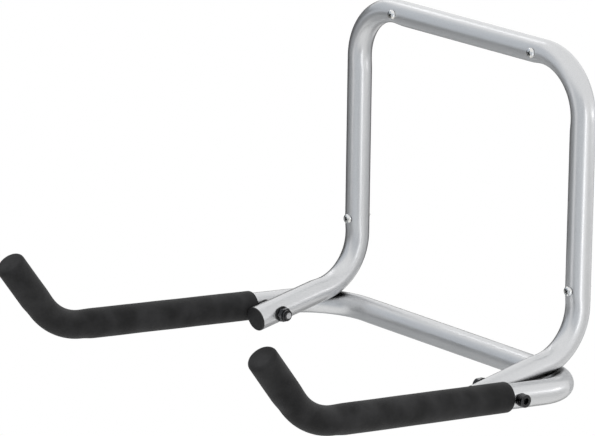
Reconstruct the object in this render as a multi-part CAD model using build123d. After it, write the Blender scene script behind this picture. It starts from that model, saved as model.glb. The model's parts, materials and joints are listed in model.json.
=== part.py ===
"""Folding two-arm bicycle wall rack, in millimetres.

X runs to the right along the wall, Y runs into the wall and Z is up. The origin lies on the wall,
midway between the two upper wall screws. The arms are modelled in use, down on their stops.
"""

import os
from math import cos, radians, sin, tan

from build123d import *

# Round steel tube, the same stock for both frames
TUBE_DIAMETER = 25.0
TUBE_WALL = 1.5
BEND_FLATTENING = 1.2  # pressed in by the bender on the inner side of each bend
BEND_RUN_OUT = 11.0  # length of straight tube over which the flattening fades out

# Wall frame, measured between tube axes: an inverted U whose two legs end in forward feet
LEG_SPACING = 330.0
FRAME_HEIGHT = 286.0  # from the top bar down to where leg and foot axes cross
TOP_BEND_RADIUS = 56.0
FOOT_BEND_RADIUS = 53.0
FOOT_SLOPE = 10.7  # degrees below level
PIVOT_REACH = 112.0  # along the foot, from the crossing of the axes to the pivot
FOOT_END_REACH = 23.0  # tube in front of the pivot

# Arm frame, measured between tube axes: a U whose two arms end in upturned hooks
ARM_REAR_REACH = 98.0  # pivot back to the cross tube
ARM_CORNER_RADIUS = 58.0
ARM_REACH = 257.0  # pivot forward to where arm and hook axes cross
HOOK_BEND_RADIUS = 68.0
HOOK_ANGLE = 48.0  # degrees that the hook turns up from the arm
HOOK_LENGTH = 89.0
STOP_CLEARANCE = 0.3  # between the arms' rear corners, before flattening, and the feet above them

# Foam grips on the arms
GRIP_WALL = 2.5
GRIP_END_CAP = 6.0
GRIP_END_ROUNDING = 5.0
GRIP_RIM_ROUNDING = 0.8
GRIP_BORE_CLEARANCE = 0.1
GRIP_SIDE_CLEARANCE = 0.5  # to the foot beside the grip and the spacer behind it

# Pivot bolt: M8 socket-head cap screw
BOLT_DIAMETER = 8.0
BOLT_HEAD_DIAMETER = 13.0
BOLT_HEAD_HEIGHT = 8.0
BOLT_HEAD_ROUNDING = 0.8
BOLT_SOCKET_WIDTH = 6.0
BOLT_SOCKET_DEPTH = 4.0
BOLT_TIP = 2.0  # thread left beyond the nut
BOLT_TIP_CHAMFER = 1.0
BOLT_HOLE_CLEARANCE = 0.05  # on the radius
RUNNING_CLEARANCE = 0.2  # beside the arm, at the bolt head and at the spacer

# Spacer between arm and foot, and washer under the nut
SPACER_DIAMETER = 17.0
WASHER_DIAMETER = 16.0
WASHER_THICKNESS = 1.6
WASHER_CHAMFER = 0.3

# Lock nut: M8 with a nylon ring in its collar
NUT_WIDTH = 13.0  # across flats
NUT_HEX_HEIGHT = 5.6
NUT_CHAMFER = 0.9
NUT_COLLAR_DIAMETER = 11.6
NUT_COLLAR_HEIGHT = 2.4
NUT_COLLAR_ROUNDING = 0.3
NUT_RING_DIAMETER = 10.8
NUT_RING_HEIGHT = 1.8
NUT_RING_CLEARANCE = 0.05

# End plug: domed cap on a ribbed stem
PLUG_CAP_THICKNESS = 2.0
PLUG_CAP_ROUNDING = 1.4
PLUG_CLEARANCE = 0.05
PLUG_RIB_DEPTH = 1.0
PLUG_RIB_COUNT = 4
PLUG_BOLT_CLEARANCE = 4.0  # between the stem and the pivot bolt

# Wall screws: pan head with a cross recess
SCREW_DIAMETER = 5.0
SCREW_SHANK_DIAMETER = 4.4
SCREW_HOLE_CLEARANCE = 0.25  # on the radius
SCREW_WALL_LENGTH = 5.0  # behind the tube
SCREW_POINT_LENGTH = 2.5
SCREW_POINT_DIAMETER = 0.8
SCREW_HEAD_DIAMETER = 10.0
SCREW_HEAD_HEIGHT = 3.5
SCREW_HEAD_ROUNDING = 2.2
SCREW_RECESS_LENGTH = 5.2
SCREW_RECESS_WIDTH = 1.1
SCREW_RECESS_DEPTH = 1.8
UPPER_SCREW_SPACING = 205.0
LOWER_SCREW_RISE = 16.0  # above the start of the foot bend

# Places that follow from the sizes above
TUBE_RADIUS = TUBE_DIAMETER / 2
BORE_RADIUS = TUBE_RADIUS - TUBE_WALL
GRIP_RADIUS = TUBE_RADIUS + GRIP_WALL
LEG_X = LEG_SPACING / 2
ARM_GAP = GRIP_WALL + GRIP_SIDE_CLEARANCE
ARM_X = LEG_X + TUBE_DIAMETER + ARM_GAP
SPACER_THICKNESS = ARM_GAP - RUNNING_CLEARANCE
GRIP_START = SPACER_DIAMETER / 2 + GRIP_SIDE_CLEARANCE
BOLT_RADIUS = BOLT_DIAMETER / 2
BOLT_HOLE_RADIUS = BOLT_RADIUS + BOLT_HOLE_CLEARANCE
NUT_HEIGHT = NUT_HEX_HEIGHT + NUT_COLLAR_HEIGHT
FOOT_TURN = 90 - FOOT_SLOPE  # degrees from the leg to the foot
FOOT_BEND_REACH = FOOT_BEND_RADIUS * tan(radians(FOOT_TURN / 2))
LOWER_SCREW_Z = FOOT_BEND_REACH + LOWER_SCREW_RISE - FRAME_HEIGHT
FOOT_CORNER = Vector(0, -TUBE_RADIUS, -FRAME_HEIGHT)
FOOT_DIRECTION = Vector(0, -cos(radians(FOOT_SLOPE)), -sin(radians(FOOT_SLOPE)))
PIVOT = FOOT_CORNER + FOOT_DIRECTION * PIVOT_REACH
FOOT_END = PIVOT + FOOT_DIRECTION * FOOT_END_REACH
ACROSS = Vector(1, 0, 0)
UP = (Align.CENTER, Align.CENTER, Align.MIN)
DOWN = (Align.CENTER, Align.CENTER, Align.MAX)


def forward(angle):
    """Direction away from the wall, turned up by an angle in degrees."""
    return Vector(0, -cos(radians(angle)), sin(radians(angle)))


def tube(path, outer_radius, inner_radius=0.0):
    """Sweep a round section, hollow or solid, along a path."""
    section = Circle(outer_radius)
    if inner_radius:
        section -= Circle(inner_radius)
    return sweep(Plane(origin=path @ 0, z_dir=path % 0) * section, path)


def pressed_half(radius):
    """Half of a bend's section, towards +X, that the bender has pressed in."""
    return EllipticalCenterArc((0, 0), radius - BEND_FLATTENING, radius, -90, arc_size=180)


def bend_section(radius, inner_half):
    """Section that is round on the outer side of a bend and closed by a given inner half."""
    return make_face([CenterArc((0, 0), radius, 90, 180), inner_half])


def run_out(bend_end):
    """Short straight tube from the plane at a bend's end, in which the flattening fades out."""
    skins = []
    for radius in (TUBE_RADIUS, BORE_RADIUS):
        pressed = bend_end * bend_section(radius, pressed_half(radius))
        round_half = CenterArc((0, 0), radius, -90, 180)
        plain = bend_end.offset(BEND_RUN_OUT) * bend_section(radius, round_half)
        skins.append(loft([pressed, plain], ruled=True))
    return skins[0] - skins[1]


def bent_tube(path):
    """Tube along a path, round on its straights and pressed in on the inner side of each bend."""
    pressed_ring = bend_section(TUBE_RADIUS, pressed_half(TUBE_RADIUS))
    pressed_ring -= bend_section(BORE_RADIUS, pressed_half(BORE_RADIUS))
    pieces = []
    reached = path @ 0
    for bend in path.edges().filter_by(GeomType.CIRCLE).sort_by(path):
        start = Plane(origin=bend @ 0, x_dir=bend.arc_center - bend @ 0, z_dir=-(bend % 0))
        end = Plane(origin=bend @ 1, x_dir=bend.arc_center - bend @ 1, z_dir=bend % 1)
        straight = Line(reached, start.offset(BEND_RUN_OUT).origin)
        pieces.append(tube(straight, TUBE_RADIUS, BORE_RADIUS))
        pieces.append(run_out(start))
        pieces.append(sweep(start * pressed_ring, bend))
        pieces.append(run_out(end))
        reached = end.offset(BEND_RUN_OUT).origin
    pieces.append(tube(Line(reached, path @ 1), TUBE_RADIUS, BORE_RADIUS))
    return Part() + pieces


def along_x(start):
    """Plane at a point of the pivot axis, for parts that are drawn up from their seat towards +X."""
    return Plane(origin=PIVOT + ACROSS * start, x_dir=(0, 1, 0), z_dir=ACROSS)


def disc(outer_diameter, hole_radius, thickness, edge_chamfer):
    """Flat ring with broken outer edges, from Z = 0 up."""
    ring = Cylinder(outer_diameter / 2, thickness, align=UP)
    ring = chamfer(ring.edges(), edge_chamfer)
    return ring - Cylinder(hole_radius, 3 * thickness)


def frame_path():
    """Axis of the wall frame, from the left foot's end to the right foot's end."""
    top = Vector(0, -TUBE_RADIUS, 0)
    half = [FOOT_END, FOOT_CORNER, top]
    left = [point - ACROSS * LEG_X for point in half]
    right = [point + ACROSS * LEG_X for point in reversed(half)]
    radii = [FOOT_BEND_RADIUS, TOP_BEND_RADIUS, TOP_BEND_RADIUS, FOOT_BEND_RADIUS]
    return FilletPolyline(*left, *right, radius=radii)


def arm_points(tilt):
    """Hook end, hook corner and rear corner of an arm at X = 0, for an arm turned up by a tilt."""
    hook_corner = PIVOT + forward(tilt) * ARM_REACH
    hook_end = hook_corner + forward(tilt + HOOK_ANGLE) * HOOK_LENGTH
    rear_corner = PIVOT - forward(tilt) * ARM_REAR_REACH
    return [hook_end, hook_corner, rear_corner]


def arm_path(tilt):
    """Axis of the arm frame, from the left hook's end to the right hook's end."""
    half = arm_points(tilt)
    left = [point - ACROSS * ARM_X for point in half]
    right = [point + ACROSS * ARM_X for point in reversed(half)]
    radii = [HOOK_BEND_RADIUS, ARM_CORNER_RADIUS, ARM_CORNER_RADIUS, HOOK_BEND_RADIUS]
    return FilletPolyline(*left, *right, radius=radii)


def rest_tilt():
    """Tilt at which the arms' rear corners come to rest under the feet, found by halving."""
    frame_axis = frame_path()
    spacing = TUBE_DIAMETER + STOP_CLEARANCE
    low = -FOOT_SLOPE  # arms in line with the feet
    high = FOOT_TURN  # arms square to the feet
    for _ in range(30):
        middle = (low + high) / 2
        if arm_path(middle).distance_to(frame_axis) < spacing:
            low = middle
        else:
            high = middle
    return high


def pivot_holes():
    """Bolt holes on the fold axis, through both frames."""
    return Plane(origin=PIVOT, z_dir=ACROSS) * Cylinder(BOLT_HOLE_RADIUS, 3 * ARM_X)


def screw_places():
    """Where each wall screw meets the wall, by its name."""
    upper_x = UPPER_SCREW_SPACING / 2
    return {
        "upper_left": Vector(-upper_x, 0, 0),
        "upper_right": Vector(upper_x, 0, 0),
        "lower_left": Vector(-LEG_X, 0, LOWER_SCREW_Z),
        "lower_right": Vector(LEG_X, 0, LOWER_SCREW_Z),
    }


def wall_frame():
    """Inverted U of tube with forward feet, drilled for the wall screws and the pivot bolts."""
    frame = bent_tube(frame_path()) - pivot_holes()
    drill = Cylinder(SCREW_DIAMETER / 2 + SCREW_HOLE_CLEARANCE, 3 * TUBE_DIAMETER)
    for place in screw_places().values():
        frame -= Plane(origin=place, z_dir=(0, 1, 0)) * drill
    return frame


def arm_frame(tilt):
    """U of tube with upturned hooks, drilled for the pivot bolts."""
    return bent_tube(arm_path(tilt)) - pivot_holes()


def grip(tilt):
    """Foam sleeve of the right arm, closed and rounded at the hook's end."""
    hook_end, hook_corner, _ = arm_points(tilt)
    start = PIVOT + forward(tilt) * GRIP_START
    outer_end = hook_end + forward(tilt + HOOK_ANGLE) * GRIP_END_CAP
    sleeve_points = [point + ACROSS * ARM_X for point in (start, hook_corner, outer_end)]
    bore_points = [point + ACROSS * ARM_X for point in (PIVOT, hook_corner, hook_end)]
    sleeve = tube(FilletPolyline(*sleeve_points, radius=HOOK_BEND_RADIUS), GRIP_RADIUS)
    rims = sleeve.edges().filter_by(GeomType.CIRCLE)
    sleeve = fillet(rims.sort_by_distance(sleeve_points[-1])[0], GRIP_END_ROUNDING)
    rims = sleeve.edges().filter_by(GeomType.CIRCLE)
    sleeve = fillet(rims.sort_by_distance(sleeve_points[0])[0], GRIP_RIM_ROUNDING)
    return sleeve - tube(
        FilletPolyline(*bore_points, radius=HOOK_BEND_RADIUS), TUBE_RADIUS + GRIP_BORE_CLEARANCE
    )


def leg_plug():
    """End plug of the right foot: a domed cap, with ring ribs on its stem that grip the bore."""
    stem_length = FOOT_END_REACH - BOLT_RADIUS - PLUG_BOLT_CLEARANCE
    rib_radius = BORE_RADIUS - PLUG_CLEARANCE
    cap = Cylinder(TUBE_RADIUS, PLUG_CAP_THICKNESS, align=UP)
    cap = fillet(cap.edges().group_by(Axis.Z)[-1], PLUG_CAP_ROUNDING)
    plug = cap + Cylinder(rib_radius - PLUG_RIB_DEPTH, stem_length, align=DOWN)
    rib_pitch = stem_length / PLUG_RIB_COUNT
    rib = Cone(rib_radius - PLUG_RIB_DEPTH, rib_radius, rib_pitch / 2, align=UP)
    for index in range(PLUG_RIB_COUNT):
        plug += Pos(0, 0, (index - PLUG_RIB_COUNT) * rib_pitch) * rib
    return Plane(origin=FOOT_END + ACROSS * LEG_X, x_dir=ACROSS, z_dir=FOOT_DIRECTION) * plug


def pivot_bolt():
    """Right pivot bolt, its head outside the arm and its tip inside the foot."""
    head_seat = ARM_X + TUBE_RADIUS + RUNNING_CLEARANCE
    tip = LEG_X - TUBE_RADIUS - WASHER_THICKNESS - NUT_HEIGHT - BOLT_TIP
    head = Cylinder(BOLT_HEAD_DIAMETER / 2, BOLT_HEAD_HEIGHT, align=UP)
    head = fillet(head.edges().group_by(Axis.Z)[-1], BOLT_HEAD_ROUNDING)
    socket = extrude(RegularPolygon(BOLT_SOCKET_WIDTH / 2, 6, major_radius=False), BOLT_SOCKET_DEPTH)
    head -= Pos(0, 0, BOLT_HEAD_HEIGHT - BOLT_SOCKET_DEPTH) * socket
    shank = Cylinder(BOLT_RADIUS, head_seat - tip, align=DOWN)
    shank = chamfer(shank.edges().group_by(Axis.Z)[0], BOLT_TIP_CHAMFER)
    return along_x(head_seat) * (head + shank)


def pivot_spacer():
    """Plastic spacer on the right bolt, against the foot's outer side."""
    spacer = disc(SPACER_DIAMETER, BOLT_HOLE_RADIUS, SPACER_THICKNESS, WASHER_CHAMFER)
    return along_x(LEG_X + TUBE_RADIUS) * spacer


def nut_washer():
    """Washer on the right bolt, against the foot's inner side."""
    washer = disc(WASHER_DIAMETER, BOLT_HOLE_RADIUS, WASHER_THICKNESS, WASHER_CHAMFER)
    return along_x(LEG_X - TUBE_RADIUS - WASHER_THICKNESS) * washer


def nut_seat():
    """Plane at the right nut's seat on its washer, facing along the bolt to its tip."""
    seat = LEG_X - TUBE_RADIUS - WASHER_THICKNESS
    return Plane(origin=PIVOT + ACROSS * seat, x_dir=(0, 1, 0), z_dir=-ACROSS)


def lock_nut():
    """Right lock nut: a chamfered hexagon with a round collar that holds the nylon ring."""
    corner_radius = NUT_WIDTH / 3**0.5
    hexagon = extrude(RegularPolygon(NUT_WIDTH / 2, 6, major_radius=False), NUT_HEX_HEIGHT)
    blank = Cylinder(corner_radius, NUT_HEX_HEIGHT, align=UP)
    hexagon &= chamfer(blank.edges().filter_by(GeomType.CIRCLE), NUT_CHAMFER / 2, NUT_CHAMFER)
    collar = Cylinder(NUT_COLLAR_DIAMETER / 2, NUT_COLLAR_HEIGHT, align=UP)
    collar = fillet(collar.edges().group_by(Axis.Z)[-1], NUT_COLLAR_ROUNDING)
    nut = hexagon + Pos(0, 0, NUT_HEX_HEIGHT) * collar
    nut -= Cylinder(BOLT_HOLE_RADIUS, 3 * NUT_HEIGHT)
    pocket = Cylinder(NUT_RING_DIAMETER / 2, NUT_COLLAR_HEIGHT, align=UP)
    nut -= Pos(0, 0, NUT_HEIGHT - NUT_RING_HEIGHT) * pocket
    return nut_seat() * nut


def nut_ring():
    """Nylon ring in the collar of the right lock nut."""
    ring = disc(
        NUT_RING_DIAMETER - 2 * NUT_RING_CLEARANCE, BOLT_HOLE_RADIUS, NUT_RING_HEIGHT, WASHER_CHAMFER
    )
    return nut_seat() * Pos(0, 0, NUT_HEIGHT - NUT_RING_HEIGHT) * ring


def wall_screw(place):
    """Wall screw through the tube: head on its front, plain shank inside it, thread behind it."""
    thread_length = SCREW_WALL_LENGTH - SCREW_POINT_LENGTH
    head = Cylinder(SCREW_HEAD_DIAMETER / 2, SCREW_HEAD_HEIGHT, align=DOWN)
    head = fillet(head.edges().group_by(Axis.Z)[0], SCREW_HEAD_ROUNDING)
    slot = Box(SCREW_RECESS_LENGTH, SCREW_RECESS_WIDTH, SCREW_RECESS_DEPTH, align=UP)
    for turn in (0, 90):
        head -= Pos(0, 0, -SCREW_HEAD_HEIGHT) * Rot(0, 0, turn) * slot
    point = Cone(SCREW_DIAMETER / 2, SCREW_POINT_DIAMETER / 2, SCREW_POINT_LENGTH, align=UP)
    screw = Pos(0, 0, -TUBE_DIAMETER) * head
    screw += Cylinder(SCREW_SHANK_DIAMETER / 2, TUBE_DIAMETER, align=DOWN)
    screw += Cylinder(SCREW_DIAMETER / 2, thread_length, align=UP)
    screw += Pos(0, 0, thread_length) * point
    return Plane(origin=place, x_dir=ACROSS, z_dir=(0, 1, 0)) * screw


def main():
    tilt = rest_tilt()
    print(f"arm tilt at rest {tilt:.4f} degrees, pivot at Y {PIVOT.Y:.4f} Z {PIVOT.Z:.4f}")
    print(f"lower wall screws at Z {LOWER_SCREW_Z:.4f}")
    nodes = {"wall_frame": wall_frame(), "arm_frame": arm_frame(tilt)}
    right_hand = {
        "grip": grip(tilt),
        "leg_plug": leg_plug(),
        "pivot_bolt": pivot_bolt(),
        "pivot_spacer": pivot_spacer(),
        "nut_washer": nut_washer(),
        "lock_nut": lock_nut(),
        "nut_ring": nut_ring(),
    }
    for name, solid in right_hand.items():
        nodes[f"{name}_right"] = solid
        nodes[f"{name}_left"] = mirror(solid, about=Plane.YZ)
    for name, place in screw_places().items():
        nodes[f"wall_screw_{name}"] = wall_screw(place)
    os.makedirs("parts", exist_ok=True)
    for name, solid in nodes.items():
        export_step(solid, f"parts/{name}.step")
        print(f"{name}: {solid.volume:.0f} cubic mm")


main()
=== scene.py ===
# %% [markdown]
# # A folding bicycle wall rack
#
# The rack is two bent steel tubes. An inverted U is screwed to the wall and its feet point into the
# room. A second U hangs on two bolts through the feet and carries the bicycles on foam-covered hooks.
# Every piece is already there at its real size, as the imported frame. This lesson dresses it: it gives
# each piece its finish, draws the tubes again with smooth pressed bends, models the soft grips and the
# small threaded parts, and lights the set.

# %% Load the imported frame
import json
import math

import bmesh
import bpy
from mathutils import Matrix, Vector, noise


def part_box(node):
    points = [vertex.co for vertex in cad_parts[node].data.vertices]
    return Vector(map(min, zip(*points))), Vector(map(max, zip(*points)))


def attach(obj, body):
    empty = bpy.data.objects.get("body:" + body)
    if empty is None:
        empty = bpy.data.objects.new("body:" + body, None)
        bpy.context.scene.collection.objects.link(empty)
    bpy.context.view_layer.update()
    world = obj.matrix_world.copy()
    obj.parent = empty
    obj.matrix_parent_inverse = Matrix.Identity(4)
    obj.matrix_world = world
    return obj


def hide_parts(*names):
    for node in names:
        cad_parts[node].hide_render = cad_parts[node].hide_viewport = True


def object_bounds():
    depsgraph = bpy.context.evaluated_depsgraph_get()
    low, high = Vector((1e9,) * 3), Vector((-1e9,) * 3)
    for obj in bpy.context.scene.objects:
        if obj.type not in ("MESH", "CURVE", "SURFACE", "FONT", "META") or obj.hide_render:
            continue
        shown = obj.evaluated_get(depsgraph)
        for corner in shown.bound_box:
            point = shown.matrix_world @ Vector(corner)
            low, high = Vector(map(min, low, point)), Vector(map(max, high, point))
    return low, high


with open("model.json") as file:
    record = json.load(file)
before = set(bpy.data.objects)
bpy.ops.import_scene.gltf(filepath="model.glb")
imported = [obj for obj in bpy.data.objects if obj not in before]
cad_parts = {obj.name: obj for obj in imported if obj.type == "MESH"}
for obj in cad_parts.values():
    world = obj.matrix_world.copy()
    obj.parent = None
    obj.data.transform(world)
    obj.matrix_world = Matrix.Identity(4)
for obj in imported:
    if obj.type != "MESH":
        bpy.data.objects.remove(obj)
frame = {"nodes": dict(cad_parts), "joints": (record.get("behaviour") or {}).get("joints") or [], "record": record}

cad_low, cad_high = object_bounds()
pivot = Vector(frame["joints"][0]["pos_m"])
print("the fold axis passes through", [round(value, 4) for value in pivot])

# %% [markdown]
# ## Helpers for the finishes
#
# Colours are written as sRGB hex values, as a paint card gives them, and shaders calculate in linear
# light, so one function converts them. Patterns are written by their real size in millimetres. The
# scene is in metres, so a noise with features of 2 mm has a scale of 500. One small function adds a
# node, sets its options and links its inputs, which keeps each finish down to a few readable lines.

# %% Colour, scale and node helpers
MM = 0.001


def linear(hex_colour):
    """Linear RGBA of an sRGB hex colour."""
    channels = [int(hex_colour[start:start + 2], 16) / 255 for start in (1, 3, 5)]
    curve = [c / 12.92 if c <= 0.04045 else ((c + 0.055) / 1.055) ** 2.4 for c in channels]
    return (*curve, 1.0)


def scale_of(size_mm):
    """Texture scale whose features have a size in millimetres, on coordinates in metres."""
    return 1 / (size_mm * MM)


def add(tree, kind, inputs=None, **settings):
    """Add a node with its settings, and link or set its inputs."""
    node = tree.nodes.new(kind)
    for name, value in settings.items():
        setattr(node, name, value)
    for name, value in (inputs or {}).items():
        if isinstance(value, bpy.types.NodeSocket):
            tree.links.new(value, node.inputs[name])
        else:
            node.inputs[name].default_value = value
    return node


def start_finish(name):
    """New empty material with its node tree and the object coordinates that its patterns follow."""
    material = bpy.data.materials.new(name)
    material.use_nodes = True
    tree = material.node_tree
    tree.nodes.clear()
    place = add(tree, "ShaderNodeTexCoord").outputs["Object"]
    return material, tree, place


def end_finish(material, tree, shader):
    """Send the shader to the output."""
    add(tree, "ShaderNodeOutputMaterial", {"Surface": shader.outputs[0]})
    print("finish", material.name, "with", len(tree.nodes), "nodes")
    return material


print("mid grey", [round(value, 3) for value in linear("#808080")])

# %% [markdown]
# ## Painted shade in the gaps
#
# Where two pieces nearly touch, a soft shadow alone leaves the gap too pale, so shade is painted into
# the colour there. A dark strip could be painted in, but it would have to be fitted to each place. The
# Ambient Occlusion node finds the gaps by itself: it tells how much of the surroundings is open within a
# short reach. The painted shade covers the surface where less than about half is open.

# %% Painted shade helper
# near-black colour of the shade painted into gaps
GAP_SHADE = "#0C0C0C"
OPEN_WHERE_BLACK = 0.46
OPEN_WHERE_UNSHADED = 0.58


def shaded_in_gaps(tree, colour, reach_mm):
    """A colour with near-black shade painted into it in gaps narrower than a reach, and how unshaded it is from 0
    to 1.
    """
    gap = add(tree, "ShaderNodeAmbientOcclusion", {"Distance": reach_mm * MM}, samples=8)
    unshaded = add(
        tree,
        "ShaderNodeMapRange",
        {"Value": gap.outputs["AO"], "From Min": OPEN_WHERE_BLACK, "From Max": OPEN_WHERE_UNSHADED},
    )
    mixed = add(
        tree,
        "ShaderNodeMix",
        {"Factor": unshaded.outputs["Result"], "A": linear(GAP_SHADE), "B": colour},
        data_type="RGBA",
    )
    return mixed.outputs["Result"], unshaded.outputs["Result"]


print("painted_gap_shade fades out from", OPEN_WHERE_BLACK, "to", OPEN_WHERE_UNSHADED, "open")

# %% [markdown]
# ## Silver powder coat on the tubes
#
# Both frames are steel tube with a metallic powder coat. The powder holds fine aluminium flakes, so the
# paint acts like a soft metal: a broad sheen that follows the room. The clear resin over the flakes adds
# a second, narrower shine, which is the thin bright streak along each tube. So the shader is a rough
# metal under a smoother coat, and in the gaps painted shade darkens the metal and takes the coat away.
# Real flakes are 0.03 mm, far too fine to show, and are drawn ten times as coarse. Powder also flows out
# with a faint orange peel, waves about 3 mm long.

# %% Finish: silver powder coat
FLAKE_MM = 0.35
CLOUD_MM = 45
PEEL_MM = 3
TUBE_GAP_MM = 14
RESIN_WEIGHT = 0.8


def silver_powder_coat():
    material, tree, place = start_finish("silver_powder_coat")
    flakes = add(tree, "ShaderNodeTexVoronoi", {"Vector": place, "Scale": scale_of(FLAKE_MM)})
    cloud = add(tree, "ShaderNodeTexNoise", {"Vector": place, "Scale": scale_of(CLOUD_MM), "Detail": 3.0})
    peel = add(tree, "ShaderNodeTexNoise", {"Vector": place, "Scale": scale_of(PEEL_MM), "Detail": 1.0})
    base = add(tree, "ShaderNodeValToRGB", {"Fac": flakes.outputs["Color"]})
    base.color_ramp.elements[0].color = linear("#C6C7C9")
    base.color_ramp.elements[1].color = linear("#D8D9DA")
    # Painted shade: the colour turns near black and the coat fades where parts nearly touch.
    paint, unshaded = shaded_in_gaps(tree, base.outputs["Color"], TUBE_GAP_MM)
    resin = add(tree, "ShaderNodeMath", {0: unshaded, 1: RESIN_WEIGHT}, operation="MULTIPLY")
    rough = add(
        tree,
        "ShaderNodeMapRange",
        {"Value": cloud.outputs["Fac"], "From Min": 0.3, "From Max": 0.7, "To Min": 0.32, "To Max": 0.38},
    )
    bump = add(
        tree,
        "ShaderNodeBump",
        {"Height": peel.outputs["Fac"], "Strength": 0.12, "Distance": 0.1 * MM},
    )
    shader = add(
        tree,
        "ShaderNodeBsdfPrincipled",
        {
            "Base Color": paint,
            "Metallic": 0.9,
            "Roughness": rough.outputs["Result"],
            "Normal": bump.outputs["Normal"],
            "Coat Weight": resin.outputs[0],
            "Coat Roughness": 0.1,
        },
    )
    return end_finish(material, tree, shader)


SILVER = silver_powder_coat()

# %% [markdown]
# ## Nitrile foam of the grips
#
# The grips are extruded nitrile rubber foam. Its skin is black and dead matte: thousands of tiny closed
# cells scatter what little light comes back, so it has no sharp highlight, only a grey veil where the
# surface turns away. A low specular level and some sheen give that. Handling leaves it faintly mottled.
# The cells are about 0.2 mm wide and are drawn as 0.7 mm pores so that they show.

# %% Finish: closed-cell nitrile foam
MOTTLE_MM = 24
PORE_MM = 0.7


def nitrile_foam():
    material, tree, place = start_finish("nitrile_foam")
    mottle = add(tree, "ShaderNodeTexNoise", {"Vector": place, "Scale": scale_of(MOTTLE_MM), "Detail": 5.0})
    pores = add(tree, "ShaderNodeTexNoise", {"Vector": place, "Scale": scale_of(PORE_MM), "Detail": 3.0})
    base = add(tree, "ShaderNodeValToRGB", {"Fac": mottle.outputs["Fac"]})
    base.color_ramp.elements[0].position = 0.35
    base.color_ramp.elements[0].color = linear("#0B0B0C")
    base.color_ramp.elements[1].position = 0.7
    base.color_ramp.elements[1].color = linear("#252526")
    bump = add(
        tree,
        "ShaderNodeBump",
        {"Height": pores.outputs["Fac"], "Strength": 0.35, "Distance": 0.25 * MM},
    )
    shader = add(
        tree,
        "ShaderNodeBsdfPrincipled",
        {
            "Base Color": base.outputs["Color"],
            "Roughness": 0.8,
            "Specular IOR Level": 0.25,
            "Sheen Weight": 0.08,
            "Sheen Roughness": 0.5,
            "Normal": bump.outputs["Normal"],
        },
    )
    return end_finish(material, tree, shader)


FOAM = nitrile_foam()

# %% [markdown]
# ## Black plastics
#
# The end plugs, spacers and washers are moulded polyethylene. The mould is spark eroded, which leaves a
# fine even grain of about 0.3 mm and a soft broad shine. The locking ring inside each nut is moulded
# nylon, smoother and a little glossier. They differ only in colour, grain and roughness, so one function
# makes both.

# %% Finish: moulded plastics
DRIFT_MM = 6


def moulded_plastic(name, dark, pale, roughness, grain_mm, grain_strength):
    material, tree, place = start_finish(name)
    drift = add(tree, "ShaderNodeTexNoise", {"Vector": place, "Scale": scale_of(DRIFT_MM), "Detail": 2.0})
    grain = add(tree, "ShaderNodeTexNoise", {"Vector": place, "Scale": scale_of(grain_mm), "Detail": 1.0})
    base = add(tree, "ShaderNodeValToRGB", {"Fac": drift.outputs["Fac"]})
    base.color_ramp.elements[0].color = linear(dark)
    base.color_ramp.elements[1].color = linear(pale)
    bump = add(
        tree,
        "ShaderNodeBump",
        {"Height": grain.outputs["Fac"], "Strength": grain_strength, "Distance": 0.05 * MM},
    )
    shader = add(
        tree,
        "ShaderNodeBsdfPrincipled",
        {
            "Base Color": base.outputs["Color"],
            "Roughness": roughness,
            "IOR": 1.51,
            "Specular IOR Level": 0.35,
            "Normal": bump.outputs["Normal"],
        },
    )
    return end_finish(material, tree, shader)


PLASTIC = moulded_plastic(
    "moulded_polyethylene", "#121213", "#1C1C1D", roughness=0.5, grain_mm=0.3, grain_strength=0.5
)
NYLON = moulded_plastic(
    "moulded_nylon", "#0E0E0F", "#161618", roughness=0.4, grain_mm=0.6, grain_strength=0.2
)

# %% [markdown]
# ## Black oxide, bright zinc and cut steel
#
# The pivot bolts and their nuts are blackened in a hot bath that turns the steel's skin into dark iron
# oxide, then oiled: nearly black, with a thin glossy film. The wall screws are zinc plated and bright,
# with a faint blue and straw tint where the passivation is thicker. Where a bolt was cut, the bare steel
# shows, greyer and duller than zinc. All are metals, so they get their colour from the reflection and
# keep the default index of refraction. The oil is a coat on the shader.

# %% Finish: blackened steel, zinc plate and cut steel
TINT_MM = 4
METAL_GRAIN_MM = 0.4
FASTENER_GAP_MM = 2


def plated_steel(name, dark, pale, roughness_low, roughness_high, oil):
    material, tree, place = start_finish(name)
    tint = add(tree, "ShaderNodeTexNoise", {"Vector": place, "Scale": scale_of(TINT_MM), "Detail": 3.0})
    grain = add(
        tree,
        "ShaderNodeTexNoise",
        {"Vector": place, "Scale": scale_of(METAL_GRAIN_MM), "Detail": 2.0},
    )
    base = add(tree, "ShaderNodeValToRGB", {"Fac": tint.outputs["Fac"]})
    base.color_ramp.elements[0].position = 0.35
    base.color_ramp.elements[0].color = linear(dark)
    base.color_ramp.elements[1].position = 0.65
    base.color_ramp.elements[1].color = linear(pale)
    rough = add(
        tree,
        "ShaderNodeMapRange",
        {"Value": grain.outputs["Fac"], "To Min": roughness_low, "To Max": roughness_high},
    )
    # Painted shade: the plating turns near black where it nearly touches another part.
    plate, _ = shaded_in_gaps(tree, base.outputs["Color"], FASTENER_GAP_MM)
    shader = add(
        tree,
        "ShaderNodeBsdfPrincipled",
        {
            "Base Color": plate,
            "Metallic": 1.0,
            "Roughness": rough.outputs["Result"],
            "Coat Weight": oil,
            "Coat Roughness": 0.1,
        },
    )
    return end_finish(material, tree, shader)


BLACK_OXIDE = plated_steel(
    "black_oxide_steel", "#1C1C1E", "#343437", roughness_low=0.2, roughness_high=0.35, oil=0.8
)
ZINC = plated_steel(
    "bright_zinc_plate", "#DDE1E6", "#E8E6E0", roughness_low=0.1, roughness_high=0.22, oil=0.0
)
CUT_STEEL = plated_steel(
    "cut_steel", "#B4B5B7", "#CACACB", roughness_low=0.3, roughness_high=0.5, oil=0.0
)

# %% [markdown]
# ## The carried-over pieces
#
# A CAD piece whose shape is right stays as it is, and only its material is changed. The record says
# which slot each piece takes its finish from, so a table from slot to finish is all that is needed.

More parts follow.
